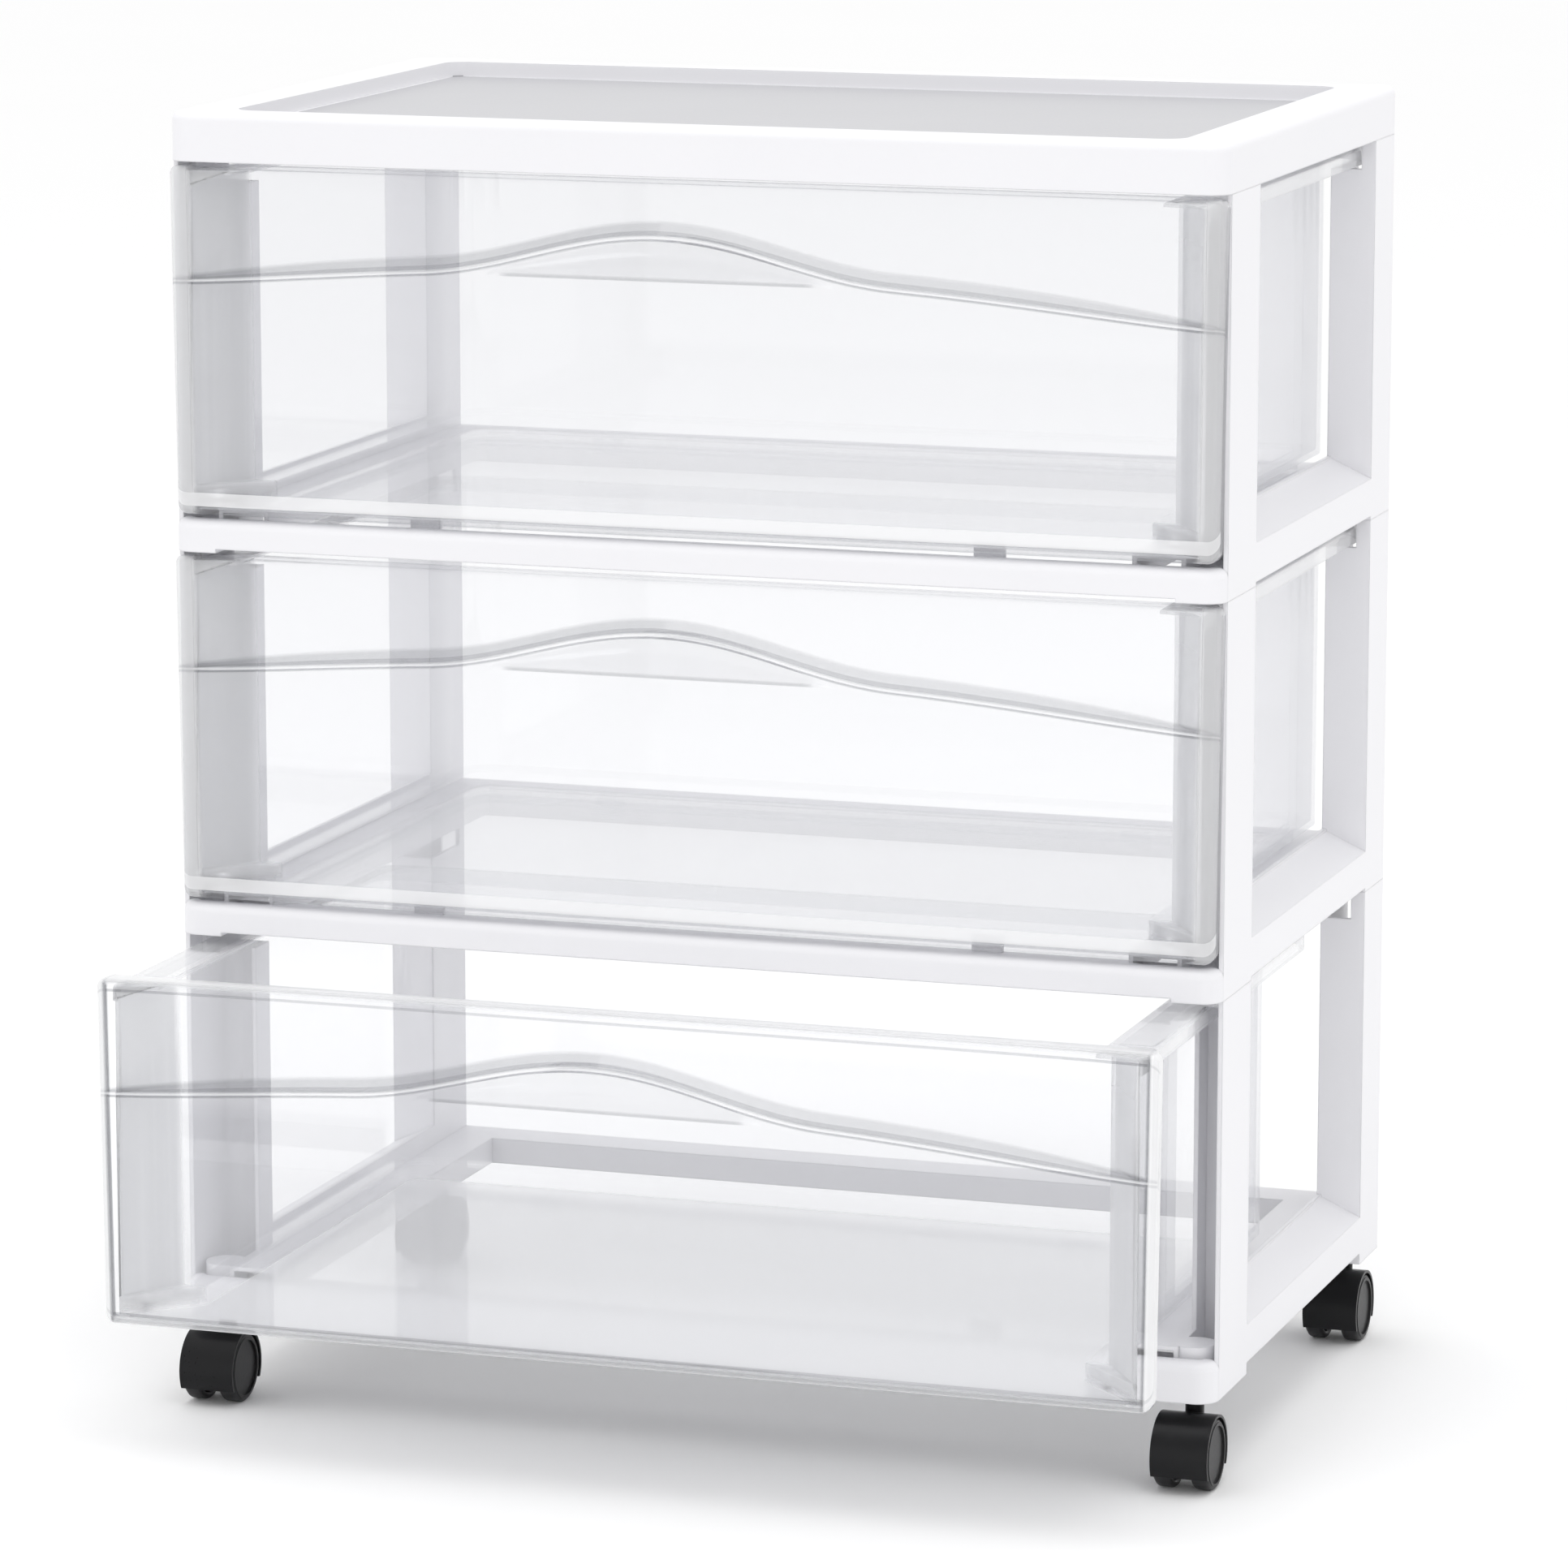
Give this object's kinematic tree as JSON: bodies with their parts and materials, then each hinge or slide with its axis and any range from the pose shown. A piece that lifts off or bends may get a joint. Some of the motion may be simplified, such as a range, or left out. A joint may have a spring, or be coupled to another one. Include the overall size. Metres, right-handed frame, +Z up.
{
  "type": "drawer tower",
  "caption": "Wheeled plastic drawer tower: clear slide-out drawers with a wave-shaped pull, in a white stacked frame with open sides and a tray top, on black twin-wheel swivel casters.",
  "frame": {"origin": "middle of the rest bounding box's underside, on the floor under the wheels", "axes": "+Z up, -Y towards the side the drawers open to, +X to the right as one faces the drawers"},
  "size_m": [0.556, 0.458, 0.675],
  "materials": {
    "frame": "satin moulded polypropylene",
    "clear_drawer": "clear, glossy",
    "caster_black": "satin black nylon",
    "wheel_black": "satin black nylon",
    "stem_steel": "bright plated steel"
  },
  "bodies": {
    "cabinet": {"top_panel": "frame", "upper_tier": "frame", "middle_tier": "frame", "base_tier": "frame", "front_left_stem": "stem_steel", "front_left_grip_ring": "stem_steel", "front_right_stem": "stem_steel", "front_right_grip_ring": "stem_steel", "rear_left_stem": "stem_steel", "rear_left_grip_ring": "stem_steel", "rear_right_stem": "stem_steel", "rear_right_grip_ring": "stem_steel"},
    "upper_drawer": {"upper_drawer": "clear_drawer"},
    "middle_drawer": {"middle_drawer": "clear_drawer"},
    "lower_drawer": {"lower_drawer": "clear_drawer"},
    "front_left_swivel": {"front_left_hood": "caster_black", "front_left_axle": "stem_steel"},
    "front_left_outer_wheel": {"front_left_outer_wheel": "wheel_black"},
    "front_left_inner_wheel": {"front_left_inner_wheel": "wheel_black"},
    "front_right_swivel": {"front_right_hood": "caster_black", "front_right_axle": "stem_steel"},
    "front_right_outer_wheel": {"front_right_outer_wheel": "wheel_black"},
    "front_right_inner_wheel": {"front_right_inner_wheel": "wheel_black"},
    "rear_left_swivel": {"rear_left_hood": "caster_black", "rear_left_axle": "stem_steel"},
    "rear_left_outer_wheel": {"rear_left_outer_wheel": "wheel_black"},
    "rear_left_inner_wheel": {"rear_left_inner_wheel": "wheel_black"},
    "rear_right_swivel": {"rear_right_hood": "caster_black", "rear_right_axle": "stem_steel"},
    "rear_right_outer_wheel": {"rear_right_outer_wheel": "wheel_black"},
    "rear_right_inner_wheel": {"rear_right_inner_wheel": "wheel_black"}
  },
  "joints": [
    {"name": "upper_drawer_slide", "type": "slide", "parent": "cabinet", "child": "upper_drawer", "axis": [0, -1, 0], "range_m": [0, 0.27]},
    {"name": "middle_drawer_slide", "type": "slide", "parent": "cabinet", "child": "middle_drawer", "axis": [0, -1, 0], "range_m": [0, 0.27]},
    {"name": "lower_drawer_slide", "type": "slide", "parent": "cabinet", "child": "lower_drawer", "axis": [0, -1, 0], "range_m": [-0.108, 0.162]},
    {"name": "front_left_swivel_turn", "type": "hinge", "parent": "cabinet", "child": "front_left_swivel", "pos_m": [-0.2625, -0.099, 0.03], "axis": [0, 0, 1], "continuous": true},
    {"name": "front_left_outer_wheel_spin", "type": "hinge", "parent": "front_left_swivel", "child": "front_left_outer_wheel", "pos_m": [-0.2724, -0.11, 0.018], "axis": [1, 0, 0], "continuous": true},
    {"name": "front_left_inner_wheel_spin", "type": "hinge", "parent": "front_left_swivel", "child": "front_left_inner_wheel", "pos_m": [-0.2526, -0.11, 0.018], "axis": [1, 0, 0], "continuous": true},
    {"name": "front_right_swivel_turn", "type": "hinge", "parent": "cabinet", "child": "front_right_swivel", "pos_m": [0.2625, -0.099, 0.03], "axis": [0, 0, 1], "continuous": true},
    {"name": "front_right_outer_wheel_spin", "type": "hinge", "parent": "front_right_swivel", "child": "front_right_outer_wheel", "pos_m": [0.2724, -0.11, 0.018], "axis": [1, 0, 0], "continuous": true},
    {"name": "front_right_inner_wheel_spin", "type": "hinge", "parent": "front_right_swivel", "child": "front_right_inner_wheel", "pos_m": [0.2526, -0.11, 0.018], "axis": [1, 0, 0], "continuous": true},
    {"name": "rear_left_swivel_turn", "type": "hinge", "parent": "cabinet", "child": "rear_left_swivel", "pos_m": [-0.2625, 0.207, 0.03], "axis": [0, 0, 1], "continuous": true},
    {"name": "rear_left_outer_wheel_spin", "type": "hinge", "parent": "rear_left_swivel", "child": "rear_left_outer_wheel", "pos_m": [-0.2724, 0.196, 0.018], "axis": [1, 0, 0], "continuous": true},
    {"name": "rear_left_inner_wheel_spin", "type": "hinge", "parent": "rear_left_swivel", "child": "rear_left_inner_wheel", "pos_m": [-0.2526, 0.196, 0.018], "axis": [1, 0, 0], "continuous": true},
    {"name": "rear_right_swivel_turn", "type": "hinge", "parent": "cabinet", "child": "rear_right_swivel", "pos_m": [0.2625, 0.207, 0.03], "axis": [0, 0, 1], "continuous": true},
    {"name": "rear_right_outer_wheel_spin", "type": "hinge", "parent": "rear_right_swivel", "child": "rear_right_outer_wheel", "pos_m": [0.2724, 0.196, 0.018], "axis": [1, 0, 0], "continuous": true},
    {"name": "rear_right_inner_wheel_spin", "type": "hinge", "parent": "rear_right_swivel", "child": "rear_right_inner_wheel", "pos_m": [0.2526, 0.196, 0.018], "axis": [1, 0, 0], "continuous": true}
  ]
}
